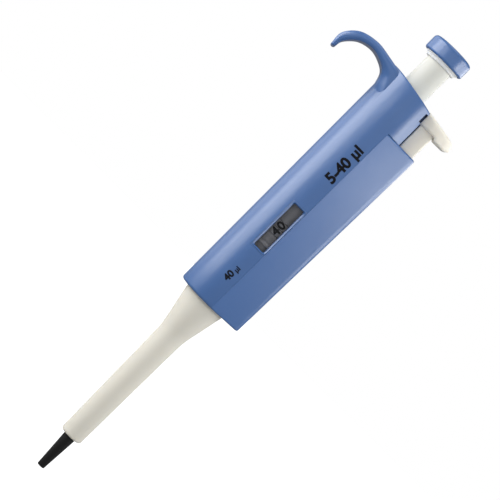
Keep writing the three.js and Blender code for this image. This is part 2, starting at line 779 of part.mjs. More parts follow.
// The thumb pad's side and plan, which cross to make it: flat on top, domed at its far end.
function thumbPad() {
  const { left, top, slope, bottom, tip, halfWidth } = PAD;
  const nose = 3;
  const at = (x) => top + slope * (x - left);
  const lip = tip - nose;
  const middle = (at(tip) + bottom - 1.3) / 2;
  const side = new THREE.Shape();
  side.moveTo(left, bottom);
  side.lineTo(BAR.right, bottom);
  side.lineTo(BAR.right + 1, bottom - 1.2);
  side.lineTo(lip, bottom - 1.3);
  side.quadraticCurveTo(tip, bottom - 1.2, tip, middle);
  side.quadraticCurveTo(tip, at(tip) + 0.2, lip, at(lip));
  side.lineTo(left, top);
  side.closePath();
  const shoulder = halfWidth - 1.4;
  const plan = new THREE.Shape();
  plan.moveTo(left, -shoulder);
  plan.lineTo(tip - 7, -halfWidth);
  plan.quadraticCurveTo(tip + 0.1, -halfWidth, tip + 0.1, 0);
  plan.quadraticCurveTo(tip + 0.1, halfWidth, tip - 7, halfWidth);
  plan.lineTo(left, shoulder);
  plan.closePath();
  return solid(profiled(side, halfWidth + 1, 6)).intersect(solid(raised(plan, bottom - 5, top + 5, 8)));
}

// The thumb pad and its bar, an upside-down L in one moulding with a groove for the handle's rail.
function ejectorButton() {
  const { left, right, halfWidth, bottom, full } = BAR;
  const bar = profiled(outline([
    [left + 0.8, bottom],
    [right - 1.4, bottom],
    [right, WING.top + 0.5],
    [right, PAD.bottom + 1],
    [left, PAD.bottom + 1],
    [left, full],
  ]), halfWidth);
  const grooveHalf = RAIL.halfWidth + RAIL.play;
  const groove = box(0, RAIL.right + RAIL.play, -grooveHalf, grooveHalf, bottom - 1, PAD.top + 1);
  const rodHole = pin(EJECT_ROD.x, 0, EJECT_ROD.r + PLAY, bottom - 1, EJECT_ROD.top + 0.3, 16);
  return cut(join(solid(bar), thumbPad()), groove, rodHole);
}

// ---------------------------------------------------------------- assembly

const pipette = new THREE.Group();
pipette.position.set(-HANG.x, 0, -HANG.z);

function place(name, shape, material) {
  const mesh = new THREE.Mesh(geometryOf(shape), material);
  mesh.name = name;
  pipette.add(mesh);
}

place("handle_shell", handleShell(), BLUE);
place("ejector_cover", ejectorCover(), BLUE);
place("window_frame", windowFrame(), BLUE);
place("window_pane", windowPane(), LENS);
place("guide_bush", guideBush(), CREAM);

place("counter_carrier", counterCarrier(), DRUM_METAL);
place("tens_drum", tensDrum(), DRUM_METAL);
place("units_drum", unitsDrum(), DRUM_METAL);
place("transfer_pinion", transferPinion(), WHITE);
place("pinion_shaft", pinionShaft(), STEEL);
place("rotor", rotor(), BRASS);
place("friction_ring", frictionRing(), RUBBER);
place("rotor_housing", rotorHousing(), DRUM_METAL);
place("thread_nut", threadNut(), BRASS);
place("stop_sleeve", stopSleeve(), WHITE);
place("blowout_spring", blowoutSpring(), STEEL);
place("top_plate", topPlate(), STEEL);
POST.angles.forEach((degrees, i) => place(`frame_post_${i + 1}`, framePost(degrees), STEEL));

place("push_button", pushButton(), BLUE);
place("button_ring", buttonRing(), WHITE);
place("plunger_sleeve", plungerSleeve(), CREAM);
place("plunger_rod", plungerRod(), STEEL);
place("rod_collar", rodCollar(), BRASS);
place("piston_head", pistonHead(), WHITE);
place("piston", piston(), STEEL);
place("primary_spring", primarySpring(), STEEL);

place("nozzle_shaft", nozzleShaft(), BLACK);
place("shaft_nut", shaftNut(), BLACK);
place("piston_seal", pistonSeal(), WHITE);
place("piston_o_ring", pistonORing(), RUBBER);
place("seal_retainer", sealRetainer(), WHITE);

place("ejector_sleeve", ejectorSleeve(), CREAM);
place("ejector_arm", ejectorArm(), STEEL);
place("ejector_rod", ejectorRod(), STEEL);
place("rod_clip", rodClip(), STEEL);
place("ejector_guide", ejectorGuide(), WHITE);
place("ejector_spring", ejectorSpring(), STEEL);
place("ejector_button", ejectorButton(), CREAM);

export default pipette;
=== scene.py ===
"""Looks of the adjustable micropipette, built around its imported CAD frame.

Shapes are drawn in millimetres from the centre of the nozzle's end, with Z up the piston axis,
+X towards the tip ejector and the volume window on the -Y side. place() moves them into the frame.
"""

import json
import math

import bmesh
import bpy
from mathutils import Matrix, Quaternion, Vector


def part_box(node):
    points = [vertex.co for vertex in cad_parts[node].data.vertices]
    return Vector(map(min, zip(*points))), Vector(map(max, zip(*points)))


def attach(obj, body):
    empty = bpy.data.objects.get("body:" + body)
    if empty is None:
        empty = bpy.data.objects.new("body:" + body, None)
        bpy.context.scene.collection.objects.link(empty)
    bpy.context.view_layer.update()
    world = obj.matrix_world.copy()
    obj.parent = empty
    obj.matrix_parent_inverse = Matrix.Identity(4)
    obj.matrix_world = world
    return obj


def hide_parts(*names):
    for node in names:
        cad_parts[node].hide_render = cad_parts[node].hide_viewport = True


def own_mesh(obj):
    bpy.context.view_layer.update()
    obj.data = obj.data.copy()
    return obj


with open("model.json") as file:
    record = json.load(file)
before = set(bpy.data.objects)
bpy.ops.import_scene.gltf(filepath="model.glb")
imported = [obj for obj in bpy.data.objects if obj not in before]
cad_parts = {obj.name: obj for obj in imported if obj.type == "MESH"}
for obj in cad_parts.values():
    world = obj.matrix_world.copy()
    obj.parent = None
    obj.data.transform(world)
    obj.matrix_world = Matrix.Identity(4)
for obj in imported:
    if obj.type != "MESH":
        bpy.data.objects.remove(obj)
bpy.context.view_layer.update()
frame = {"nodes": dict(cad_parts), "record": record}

MM = 0.001


# ---------------------------------------------------------------- places, from the frame

def corners(node):
    """A CAD node's lowest and highest corner in millimetres from the nozzle's end."""
    low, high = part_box(node)
    return (low - NOZZLE_END) / MM, (high - NOZZLE_END) / MM


def find_nozzle_end():
    low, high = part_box("nozzle_shaft")
    return Vector(((low.x + high.x) / 2, (low.y + high.y) / 2, low.z))


NOZZLE_END = find_nozzle_end()
SHELL_LOW, SHELL_HIGH = corners("handle_shell")
COVER_LOW, COVER_HIGH = corners("ejector_cover")
FRAME_LOW, FRAME_HIGH = corners("window_frame")
PANE_LOW, PANE_HIGH = corners("window_pane")
BUTTON_LOW, BUTTON_HIGH = corners("push_button")
RING_LOW, RING_HIGH = corners("button_ring")
SLEEVE_LOW, SLEEVE_HIGH = corners("plunger_sleeve")
TUBE_LOW, TUBE_HIGH = corners("ejector_sleeve")
SHAFT_LOW, SHAFT_HIGH = corners("nozzle_shaft")
PAD_LOW, PAD_HIGH = corners("ejector_button")
TENS_LOW, TENS_HIGH = corners("tens_drum")
UNITS_LOW, UNITS_HIGH = corners("units_drum")
CARRIER_LOW, CARRIER_HIGH = corners("counter_carrier")
HOUSING_LOW, HOUSING_HIGH = corners("rotor_housing")
BUSH_LOW, BUSH_HIGH = corners("guide_bush")

BODY_R = SHELL_HIGH.y
BODY_BOTTOM = SHELL_LOW.z
# The handle's slanted top face: its height on the axis and its rise along X.
TOP_AT_AXIS = 206.4
TOP_SLOPE = -0.18
# Heights clear of the handle, where the cuts through it start and end.
UNDER_BODY = BODY_BOTTOM - 1
OVER_BODY = 215

# The ejector cover at its lower end: where it meets the shell, the tilt of its flanks and its far side.
WING_SEAM = COVER_LOW.x
WING_TILT = math.radians(29)
WING_END = 17.2
# How far its far side and its seam have moved outwards at its top.
WING_FLARE = COVER_HIGH.x - WING_END
WING_LEAN = 1.05
WING_TOP = COVER_HIGH.z
# The radius of the shell's core, which the cover sits on.
WING_SEAT = 12.2
SEAT_LOW = 80
SEAT_HIGH = 190

# The height of the thumb pad's underside where it leaves the handle.
PAD_STEP = 199.2
DRUM_R = TENS_HIGH.x


# ---------------------------------------------------------------- mesh helpers

def collect(bm, name, smooth_angle=35):
    """A mesh object from a bmesh, shaded smooth except across sharp edges."""
    bmesh.ops.remove_doubles(bm, verts=bm.verts, dist=1e-4)
    bmesh.ops.recalc_face_normals(bm, faces=bm.faces)
    mesh = bpy.data.meshes.new(name)
    bm.to_mesh(mesh)
    bm.free()
    obj = bpy.data.objects.new(name, mesh)
    bpy.context.scene.collection.objects.link(obj)
    shade(obj, smooth_angle)
    return obj


def shade(obj, smooth_angle=35):
    mesh = obj.data
    mesh.shade_smooth()
    mesh.set_sharp_from_angle(angle=math.radians(smooth_angle))


def apply_modifiers(obj):
    """Bakes the object's modifiers into its mesh."""
    bpy.context.view_layer.update()
    evaluated = obj.evaluated_get(bpy.context.evaluated_depsgraph_get())
    mesh = bpy.data.meshes.new_from_object(evaluated)
    obj.modifiers.clear()
    obj.data = mesh


def combine(obj, other, operation):
    modifier = obj.modifiers.new("boolean", "BOOLEAN")
    modifier.object = other
    modifier.operation = operation
    modifier.solver = "EXACT"
    apply_modifiers(obj)
    bpy.data.objects.remove(other)
    return obj


def cut(obj, *cutters):
    for cutter in cutters:
        combine(obj, cutter, "DIFFERENCE")
    return obj


def box(x0, x1, y0, y1, z0, z1):
    bm = bmesh.new()
    bmesh.ops.create_cube(bm, size=1)
    centre = Vector(((x0 + x1) / 2, (y0 + y1) / 2, (z0 + z1) / 2))
    size = Matrix.Diagonal((x1 - x0, y1 - y0, z1 - z0, 1))
    bm.transform(Matrix.Translation(centre) @ size)
    return collect(bm, "box")


def rounded(outline, steps=6, closed=True):
    """An outline of (x, y, fillet radius) corners as points, each corner turned into an arc."""
    points = []
    count = len(outline)
    for i, (x, y, radius) in enumerate(outline):
        here = Vector((x, y))
        ends = not closed and i in (0, count - 1)
        if radius <= 0 or ends:
            points.append(here)
            continue
        before = Vector(outline[i - 1][:2]) - here
        after = Vector(outline[(i + 1) % count][:2]) - here
        half = before.angle(after) / 2
        tangent = min(radius / math.tan(half), 0.49 * before.length, 0.49 * after.length)
        radius = tangent * math.tan(half)
        before.normalize()
        after.normalize()
        centre = here + (before + after).normalized() * radius / math.sin(half)
        start = here + before * tangent - centre
        sweep = start.angle_signed(here + after * tangent - centre)
        for k in range(steps + 1):
            points.append(centre + Matrix.Rotation(-sweep * k / steps, 2) @ start)
    return points


def lathe(name, profile, segments=128, steps=6, smooth_angle=35):
    """A turned piece from (radius, height, fillet) corners. An open profile runs from axis to axis."""
    on_axis = profile[0][0] == 0
    points = rounded(profile, steps, closed=not on_axis)
    bm = bmesh.new()
    rings = []
    for p in points:
        if p.x < 1e-6:
            rings.append([bm.verts.new((0, 0, p.y))])
            continue
        turn = [2 * math.pi * j / segments for j in range(segments)]
        rings.append([bm.verts.new((p.x * math.cos(a), p.x * math.sin(a), p.y)) for a in turn])
    pairs = list(zip(rings, rings[1:]))
    if not on_axis:
        pairs.append((rings[-1], rings[0]))
    for lower, upper in pairs:
        bridge(bm, lower, upper)
    return collect(bm, name, smooth_angle)


def bridge(bm, lower, upper):
    """Faces between two rings, either of which may be a single point."""
    count = max(len(lower), len(upper))
    for j in range(count):
        k = (j + 1) % count
        first = [lower[j % len(lower)], lower[k % len(lower)]]
        second = [upper[k % len(upper)], upper[j % len(upper)]]
        different = list(dict.fromkeys(first + second))
        if len(different) > 2:
            bm.faces.new(different)


def loft(name, rings, smooth_angle=35):
    """A closed skin over rings of points with the same number of points each, capped at both ends."""
    bm = bmesh.new()
    made = [[bm.verts.new(p) for p in ring] for ring in rings]
    for lower, upper in zip(made, made[1:]):
        bridge(bm, lower, upper)
    bm.faces.new(made[0])
    bm.faces.new(reversed(made[-1]))
    return collect(bm, name, smooth_angle)


def spline(points, count):
    """Points along a smooth curve through the given points, as evenly split as they are."""
    found = []
    last = len(points) - 1
    for i in range(count + 1):
        t = last * i / count
        k = min(int(t), last - 1)
        w = t - k
        a, b, c, d = (Vector(points[min(max(near, 0), last)]) for near in range(k - 1, k + 3))
        slope_in = (c - a) * 0.5
        slope_out = (d - b) * 0.5
        found.append(
            (2 * w**3 - 3 * w**2 + 1) * b + (w**3 - 2 * w**2 + w) * slope_in
            + (3 * w**2 - 2 * w**3) * c + (w**3 - w**2) * slope_out
        )
    return found


def soften(obj, pick, width, segments=3):
    """Rounds the edges that pick() chooses."""
    bm = bmesh.new()
    bm.from_mesh(obj.data)
    edges = [e for e in bm.edges if pick(e)]
    bmesh.ops.bevel(
        bm, geom=edges, offset=width, segments=segments, profile=0.5, affect="EDGES", clamp_overlap=True
    )
    bm.to_mesh(obj.data)
    bm.free()
    shade(obj)
    return obj


def slice_faces(bm, places, axis):
    """Splits the faces across X (axis 0) or Y (axis 1) at the given places, so that they can bend."""
    for at in places:
        place_on = [0, 0, 0]
        normal = [0, 0, 0]
        place_on[axis] = at
        normal[axis] = 1
        everything = bm.verts[:] + bm.edges[:] + bm.faces[:]
        bmesh.ops.bisect_plane(bm, geom=everything, plane_co=place_on, plane_no=normal)


def tidy_mesh(obj):
    """Drops loose and doubled geometry that a boolean can leave."""
    bm = bmesh.new()
    bm.from_mesh(obj.data)
    bmesh.ops.remove_doubles(bm, verts=bm.verts, dist=2e-3)
    bmesh.ops.dissolve_degenerate(bm, edges=bm.edges, dist=1e-3)
    bmesh.ops.recalc_face_normals(bm, faces=bm.faces)
    bm.to_mesh(obj.data)
    bm.free()
    shade(obj)


def place(obj, body, slot, material, *nodes):
    obj.data.transform(Matrix.Translation(NOZZLE_END) @ Matrix.Scale(MM, 4))
    obj.data.materials.clear()
    obj.data.materials.append(material)
    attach(obj, body)
    if nodes:
        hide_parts(*nodes)
    return obj


# ---------------------------------------------------------------- materials

class Nodes:
    """A material's node tree with short calls for the nodes that these finishes share."""

    def __init__(self, name):
        self.material = bpy.data.materials.new(name)
        self.material.use_nodes = True
        self.tree = self.material.node_tree
        self.shader = self.tree.nodes["Principled BSDF"]
        self.coords = self.add("ShaderNodeTexCoord").outputs["Object"]

    def add(self, kind, **values):
        node = self.tree.nodes.new(kind)
        for key, value in values.items():
            setattr(node, key, value)
        return node

    def link(self, output, node, socket):
        self.tree.links.new(output, node.inputs[socket])

    def noise(self, scale, detail=2.0, stretch=(1, 1, 1)):
        mapping = self.add("ShaderNodeMapping")
        mapping.inputs["Scale"].default_value = stretch
        self.link(self.coords, mapping, "Vector")
        noise = self.add("ShaderNodeTexNoise")
        noise.inputs["Scale"].default_value = scale
        noise.inputs["Detail"].default_value = detail
        self.link(mapping.outputs["Vector"], noise, "Vector")
        return noise.outputs["Fac"]

    def spread(self, output, low, high, from_low=0.0, from_high=1.0):
        """Maps an output on to a range of values."""
        node = self.add("ShaderNodeMapRange")
        node.inputs["From Min"].default_value = from_low
        node.inputs["From Max"].default_value = from_high
        node.inputs["To Min"].default_value = low
        node.inputs["To Max"].default_value = high
        self.link(output, node, "Value")
        return node.outputs["Result"]

    def blend(self, factor, first, second):
        """A colour between two colours, each a value or an output."""
        node = self.add("ShaderNodeMix", data_type="RGBA")
        self.link(factor, node, "Factor")
        for socket, value in (("A", first), ("B", second)):
            target = [s for s in node.inputs if s.name == socket and s.type == "RGBA"][0]
            if isinstance(value, bpy.types.NodeSocket):
                self.tree.links.new(value, target)
            else:
                target.default_value = (*value, 1)
        return [s for s in node.outputs if s.type == "RGBA"][0]

    def bump(self, height, distance, strength=1.0, under=None):
        node = self.add("ShaderNodeBump")
        node.inputs["Distance"].default_value = distance
        node.inputs["Strength"].default_value = strength
        self.link(height, node, "Height")
        if under is not None:
            self.link(under, node, "Normal")
        return node.outputs["Normal"]

    def set(self, **values):
        for key, value in values.items():
            self.shader.inputs[key.replace("_", " ")].default_value = value


def shade_of(colour, factor):
    return tuple(min(c * factor, 1.0) for c in colour)


def moulded(name, colour, roughness, grain=0.000012, wear=1.12, specular=0.5, glow=0.0):
    """Injection-moulded plastic: faint flow mottling, a fine eroded grain, handling marks in the
    gloss and slightly rubbed edges."""
    n = Nodes(name)
    flow = n.noise(scale=90, detail=3, stretch=(1, 1, 0.35))
    mottle = n.blend(flow, shade_of(colour, 0.965), shade_of(colour, 1.035))
    edges = n.add("ShaderNodeNewGeometry").outputs["Pointiness"]
    rubbed = n.spread(edges, low=0, high=0.8, from_low=0.53, from_high=0.62)
    n.link(n.blend(rubbed, mottle, shade_of(colour, wear)), n.shader, "Base Color")
    handled = n.noise(scale=260, detail=5, stretch=(1, 1, 0.5))
    marks = n.spread(handled, roughness - 0.015, roughness + 0.015, from_low=0.3, from_high=0.7)
    n.link(marks, n.shader, "Roughness")
    waves = n.bump(n.noise(scale=45, detail=1), distance=0.00008, strength=0.2)
    n.link(n.bump(n.noise(scale=5200, detail=2), grain, strength=0.8, under=waves), n.shader, "Normal")
    n.set(IOR=1.5, Specular_IOR_Level=specular, Subsurface_Weight=glow, Subsurface_Scale=0.003)
    n.set(Subsurface_Radius=(1.0, 0.9, 0.75))
    return n.material


def turned_metal(name, colour, roughness, lines=(1, 1, 14), metallic=1.0):
    """Turned or ground metal: fine tool lines, a broken gloss and dulled patches."""
    n = Nodes(name)
    patches = n.blend(n.noise(scale=220, detail=4), shade_of(colour, 0.86), shade_of(colour, 1.08))
    n.link(patches, n.shader, "Base Color")
    gloss = n.noise(scale=500, detail=3, stretch=lines)
    n.link(n.spread(gloss, roughness - 0.08, roughness + 0.1), n.shader, "Roughness")
    tooled = n.noise(scale=1400, detail=2, stretch=lines)
    n.link(n.bump(tooled, distance=0.00001, strength=0.7), n.shader, "Normal")
    n.set(Metallic=metallic)
    return n.material


def elastomer(name, colour):
    """Greased rubber with fine pores."""
    n = Nodes(name)
    greased = n.blend(n.noise(scale=900, detail=3), shade_of(colour, 0.8), shade_of(colour, 1.3))
    n.link(greased, n.shader, "Base Color")
    n.link(n.spread(n.noise(scale=400, detail=3), low=0.45, high=0.75), n.shader, "Roughness")
    pores = n.noise(scale=6000, detail=2)
    n.link(n.bump(pores, distance=0.00002, strength=0.6), n.shader, "Normal")
    return n.material


def clear_pane(name):
    """Polished clear polymer with hairline scratches, slightly smoked."""
    n = Nodes(name)
    tint = (0.04, 0.042, 0.045)
    smoke = n.blend(n.noise(scale=300, detail=2), shade_of(tint, 0.94), shade_of(tint, 1.06))
    n.link(smoke, n.shader, "Base Color")
    rubbed = n.noise(scale=700, detail=4, stretch=(9, 9, 1))
    haze = n.spread(rubbed, low=0.03, high=0.16, from_low=0.45, from_high=0.75)
    n.link(haze, n.shader, "Roughness")
    hairlines = n.noise(scale=1800, detail=2, stretch=(7, 7, 1))
    n.link(n.bump(hairlines, distance=0.000004, strength=0.5), n.shader, "Normal")
    n.set(IOR=1.49, Alpha=0.12, Specular_IOR_Level=0.3)
    return n.material


def ink(name, colour):
    """Pad-printed ink, a little thin and uneven."""
    n = Nodes(name)
    uneven = n.blend(n.noise(scale=1500, detail=4), shade_of(colour, 0.6), shade_of(colour, 1.6))
    n.link(uneven, n.shader, "Base Color")
    n.link(n.spread(n.noise(scale=900, detail=3), low=0.45, high=0.65), n.shader, "Roughness")
    grain = n.noise(scale=5000, detail=2)
    n.link(n.bump(grain, distance=0.000008, strength=0.6), n.shader, "Normal")
    n.set(Specular_IOR_Level=0.15)
    return n.material


BLUE = moulded("moulded_blue", (0.046, 0.12, 0.31), 0.31, specular=0.82)
CREAM = moulded("moulded_cream", (0.685, 0.657, 0.58), 0.55, specular=0.25, glow=0.3)
PUSH_CREAM = moulded("moulded_ivory", (0.62, 0.62, 0.57), 0.5, specular=0.3, glow=0.3)
PAD_CREAM = moulded("moulded_pad", (0.80, 0.765, 0.68), 0.5, specular=0.3, glow=0.4)
WHITE = moulded("moulded_white", (0.80, 0.80, 0.78), 0.45, specular=0.4, glow=0.3)
BLACK = moulded(
    "moulded_black", (0.008, 0.008, 0.0075), 0.45, grain=0.00002, wear=2.2, specular=0.25
)
RUBBER = elastomer("elastomer_black", (0.02, 0.021, 0.024))
LENS = clear_pane("clear_pane")
GREY_METAL = turned_metal("anodised_grey", (0.3, 0.3, 0.32), 0.55, metallic=0.2)
STEEL = turned_metal("bright_steel", (0.62, 0.63, 0.65), 0.26)
BRASS = turned_metal("turned_brass", (0.62, 0.45, 0.17), 0.3)
INK = ink("black_ink", (0.003, 0.003, 0.004))

FINISHES = {
    "body_blue": BLUE,
    "cream": CREAM,
    "white": WHITE,
    "black": BLACK,
    "rubber": RUBBER,
    "lens": LENS,
    "drum_metal": GREY_METAL,
    "steel": STEEL,
    "brass": BRASS,
}


# ---------------------------------------------------------------- handle

def under_top():
    """Everything below the slanted top face, as a wedge-topped block."""
    reach = 40
    bottom = 60
    rings = []
    for x in (-reach, reach):
        top = TOP_AT_AXIS + TOP_SLOPE * x
        rings.append([(x, -reach, bottom), (x, reach, bottom), (x, reach, top), (x, -reach, top)])
    return loft("under_top", rings)


# Paired points across the hook, from inside the handle to the tip.
HOOK_OVER = [
    (-1, 194), (-2, 200.5), (-8, 206.6), (-17, 209),
    (-23.9, 209.75), (-31.2, 207.9), (-35.9, 202.8), (-36, 197.4),
]
HOOK_UNDER = [
    (-10, 190), (-12.6, 197.4), (-14.4, 202.8), (-18.5, 205.55),
    (-23.4, 206.6), (-29, 205.1), (-33.2, 201), (-34, 197.6),
]
# Half the hook's width along Y, at its root and its tip.
HOOK_ROOT_HALF = 9.8
HOOK_TIP_HALF = 6.6
# The power that flattens the hook's rounded edges; 1 would leave them elliptical.
FLATNESS = 1.3
# The signs of a ring's four quarters, in turning order.
QUARTERS = ((1, 1), (-1, 1), (-1, -1), (1, -1))


def rim_ring(under, over, half_width, under_round, over_round, arc=10):
    """Points round a rounded rectangle from under to over in the XZ plane, half_width deep in Y.
    Each rounding is (radius along the section, radius along Y), and flatter than an ellipse."""
    half = (over - under).length / 2
    along = (over - under).normalized()
    middle = (under + over) / 2
    ring = []
    for quarter, (a, b) in enumerate(QUARTERS):
        radius_u, radius_v = over_round if a > 0 else under_round
        radius_u = min(radius_u, half * 0.85)
        for i in range(arc + 1):
            angle = (quarter + i / arc) * math.pi / 2
            u = a * (half - radius_u + radius_u * abs(math.cos(angle)) ** FLATNESS)
            v = b * (half_width - radius_v + radius_v * abs(math.sin(angle)) ** FLATNESS)
            ring.append((middle.x + along.x * u, v, middle.y + along.y * u))
    return ring


def finger_hook():
    steps = 72
    over = spline(HOOK_OVER, steps)
    under = spline(HOOK_UNDER, steps)
    rings = []
    for i in range(steps + 1):
        share = (i / steps) ** 2
        half_width = HOOK_ROOT_HALF + (HOOK_TIP_HALF - HOOK_ROOT_HALF) * share
        at_root = max(1 - i / steps / 0.75, 0)
        under_round = (1.3 + 3.4 * at_root, 1 + 8 * at_root**3)
        over_round = (1.4 + i / steps, 1.2)
        rings.append(rim_ring(under[i], over[i], half_width, under_round, over_round))
    out = (over[-1] - over[-2]).normalized()
    return loft("hook", rings + tip_rings(rings[-1], Vector((out.x, 0, out.y))))


def tip_rings(last_ring, out):
    """Shrinking rings that close the hook's tip, so that its end is rounded like its sides."""
    steps = 6
    rounding = 0.8
    # The last ring stops short of a point, so that the cap over it is a real face.
    sweep = 0.96 * math.pi / 2
    tip = [Vector(p) for p in last_ring]
    centre = sum(tip, Vector()) / len(tip)
    rings = []
    for k in range(1, steps + 1):
        angle = k / steps * sweep
        inset = 1 - math.cos(angle)
        shift = out * math.sin(angle) * rounding
        ring = []
        for p in tip:
            q = p - centre
            thin = Vector((q.x, 0, q.z)) * (1 - inset)
            deep = q.y - math.copysign(min(abs(q.y), rounding * inset), q.y)
            ring.append(centre + thin + Vector((0, deep, 0)) + shift)
        rings.append(ring)
    return rings


def handle_shell():
    r = BODY_R
    # Plain rings up the wall keep its shading even below the hook and round the cuts.
    wall = [(r, z, 0) for z in (106, 118, 147, 165, 184, 190)]
    foot = [(0, BODY_BOTTOM, 0), (r, BODY_BOTTOM, 1.1)]
    body = lathe("handle_shell_visual", [*foot, *wall, (r, OVER_BODY, 0), (0, OVER_BODY, 0)], 144)
    combine(body, under_top(), "INTERSECT")
    soften(body, on_top_rim, 0.7, 4)
    combine(body, finger_hook(), "UNION")
    arm_slot = box(5, 20, -3.9, 3.9, UNDER_BODY, 105.2)
    bar_slot = box(10.9, 20, -3.8, 3.8, 148, WING_TOP + 0.1)
    cut(body, shell_cavity(), cover_seat(), pad_slide(), arm_slot, bar_slot, window_opening())
    tidy_mesh(body)
    return place(body, "handle", "body_blue", BLUE, "handle_shell")


def on_top_rim(edge):
    """Whether an edge lies where the slanted top meets the wall."""
    ends = [v.co for v in edge.verts]
    on_plane = all(abs(p.z - TOP_AT_AXIS - TOP_SLOPE * p.x) < 0.01 for p in ends)
    return on_plane and all(abs(math.hypot(p.x, p.y) - BODY_R) < 0.05 for p in ends)


def shell_cavity():
    """The shell's inside: the wide bore, the neck for the rotor, the bush's seat and the top hole."""
    bore, neck, bush_seat, top_hole = 11, 8.6, 6.9, 6.15
    return lathe("cavity", [
        (0, UNDER_BODY, 0),
        (bore, UNDER_BODY, 0),
        (bore, 186, 0),
        (neck, 187.5, 0),
        (neck, BUSH_LOW.z - 0.1, 0),
        (bush_seat, BUSH_LOW.z - 0.1, 0),
        (bush_seat, BUSH_HIGH.z + 0.05, 0),
        (top_hole, BUSH_HIGH.z + 0.05, 0),
        (top_hole, OVER_BODY, 0),
        (0, OVER_BODY, 0),
    ], 96)


def seat_core(radius):
    """The round core that the cover sits on."""
    outline = [(0, SEAT_LOW, 0), (radius, SEAT_LOW, 0), (radius, SEAT_HIGH, 0), (0, SEAT_HIGH, 0)]
    return lathe("core", outline, 144)


def cover_seat():
    """What the shell loses to the ejector cover, down to the core."""
    reach = 20
    rings = []
    for z in (UNDER_BODY, WING_TOP + 0.05):
        left = WING_SEAM - 0.03 + WING_LEAN * wing_height(z)
        rings.append([(left, -reach, z), (reach, -reach, z), (reach, reach, z), (left, reach, z)])
    return cut(loft("seat", rings), seat_core(WING_SEAT))


def pad_slide():
    """The flat that the thumb pad slides down on, deeper at the pad, with a rib in its middle."""
    reach = 20
    slide = box(10.3, reach, -reach, reach, WING_TOP, OVER_BODY)
    combine(slide, box(9.2, reach, -reach, reach, PAD_STEP, PAD_STEP + 4.2), "UNION")
    return cut(slide, box(0, 11.7, -1, 1, WING_TOP + 0.35, PAD_STEP + 4.2))


def window_opening():
    gap = 0.05
    return box(
        FRAME_LOW.x - gap, FRAME_HIGH.x + gap, -20, 0, FRAME_LOW.z - gap, FRAME_HIGH.z + gap
    )


def wing_height(z):
    """How far up the cover a height is, from 0 at its foot to 1 at its top."""
    return (z - BODY_BOTTOM) / (WING_TOP - BODY_BOTTOM)


def wing_outline(inset, arc=10):
    """The cover's outline, shrunk all round by inset, with its outer corners rounded."""
    slope = math.tan(WING_TILT)
    edge = math.sqrt(BODY_R**2 - WING_SEAM**2) - inset / math.cos(WING_TILT)
    end = WING_END - inset
    flank = edge - (end - WING_SEAM) * slope
    corner = max(3.4 - inset, 0.4)
    return rounded([
        (WING_SEAM, -edge, 0),
        (end, -flank, corner),
        (end, flank, corner),
        (WING_SEAM, edge, 0),
    ], arc)


def wing_ring(inset, z):
    """The cover's outline at a height. Towards the top it leans outwards, most at its far side."""
    height = wing_height(z)
    edge = math.sqrt(BODY_R**2 - WING_SEAM**2)
    narrowing = 1 - math.sqrt(BODY_R**2 - (WING_SEAM + WING_LEAN) ** 2) / edge
    ring = []
    for p in wing_outline(inset):
        share = min(max((p.x - WING_SEAM) / (WING_END - WING_SEAM), 0), 1)
        shift = height * (WING_LEAN + (WING_FLARE - WING_LEAN) * share)
        ring.append((p.x + shift, p.y * (1 - height * narrowing), z))
    return ring


def wing_solid(name, inset, bottom, top, edge):
    """The flared wing between two heights, with rounded edges at its ends."""
    steps = 5
    rings = []
    for k in range(steps + 1):
        a = (1 - k / steps) * math.pi / 2
        rings.append(wing_ring(inset + edge * (1 - math.cos(a)), bottom + edge * (1 - math.sin(a))))
    for k in range(steps + 1):
        a = k / steps * math.pi / 2
        rings.append(wing_ring(inset + edge * (1 - math.cos(a)), top - edge * (1 - math.sin(a))))
    return loft(name, rings)


def ejector_cover():
    wall = 1
    roof = 1.3
    cover = wing_solid("ejector_cover_visual", 0, BODY_BOTTOM, WING_TOP, edge=0.8)
    inner = wing_solid("inner", wall, BODY_BOTTOM + wall, WING_TOP - roof, edge=0.2)
    bar_opening = box(9, 18.28, -3.8, 3.8, 180, 190)
    cut(cover, inner, seat_core(WING_SEAT + 0.04), bar_opening)
    tidy_mesh(cover)
    return place(cover, "handle", "body_blue", BLUE, "ejector_cover")


# ---------------------------------------------------------------- volume window

def wrapped(obj, r):
    """Bends a flat piece, drawn in X and Z with its thickness in Y from 0 outwards, round the axis."""
    for v in obj.data.vertices:
        depth = r - v.co.y
        angle = v.co.x / r
        v.co = Vector((depth * math.sin(angle), -depth * math.cos(angle), v.co.z))
    obj.data.update()


def rounded_edge(depth_in, depth_out, edge):
    """A slab's side as (inset, depth) points, with a rounded outer edge."""
    profile = [(0, depth_in), (0, depth_out + edge)]
    for k in range(1, 5):
        a = math.pi / 8 * k
        profile.append((edge * (1 - math.cos(a)), depth_out + edge * (1 - math.sin(a))))
    return profile


def rounded_slab(name, half_width, half_height, corner, profile, middle):
    """A window-shaped slab with rounded corners, cut fine across X."""
    rings = []
    for inset, y in profile:
        w = half_width - inset
        h = half_height - inset
        c = max(corner - inset, 0.05)
        outline = rounded([(-w, -h, c), (w, -h, c), (w, h, c), (-w, h, c)], 6)
        rings.append([(p.x, y, middle + p.y) for p in outline])
    slab = loft(name, rings)
    bm = bmesh.new()
    bm.from_mesh(slab.data)
    slice_faces(bm, [half_width * k / 10 for k in range(-9, 10)], 0)
    bm.to_mesh(slab.data)
    bm.free()
    return slab


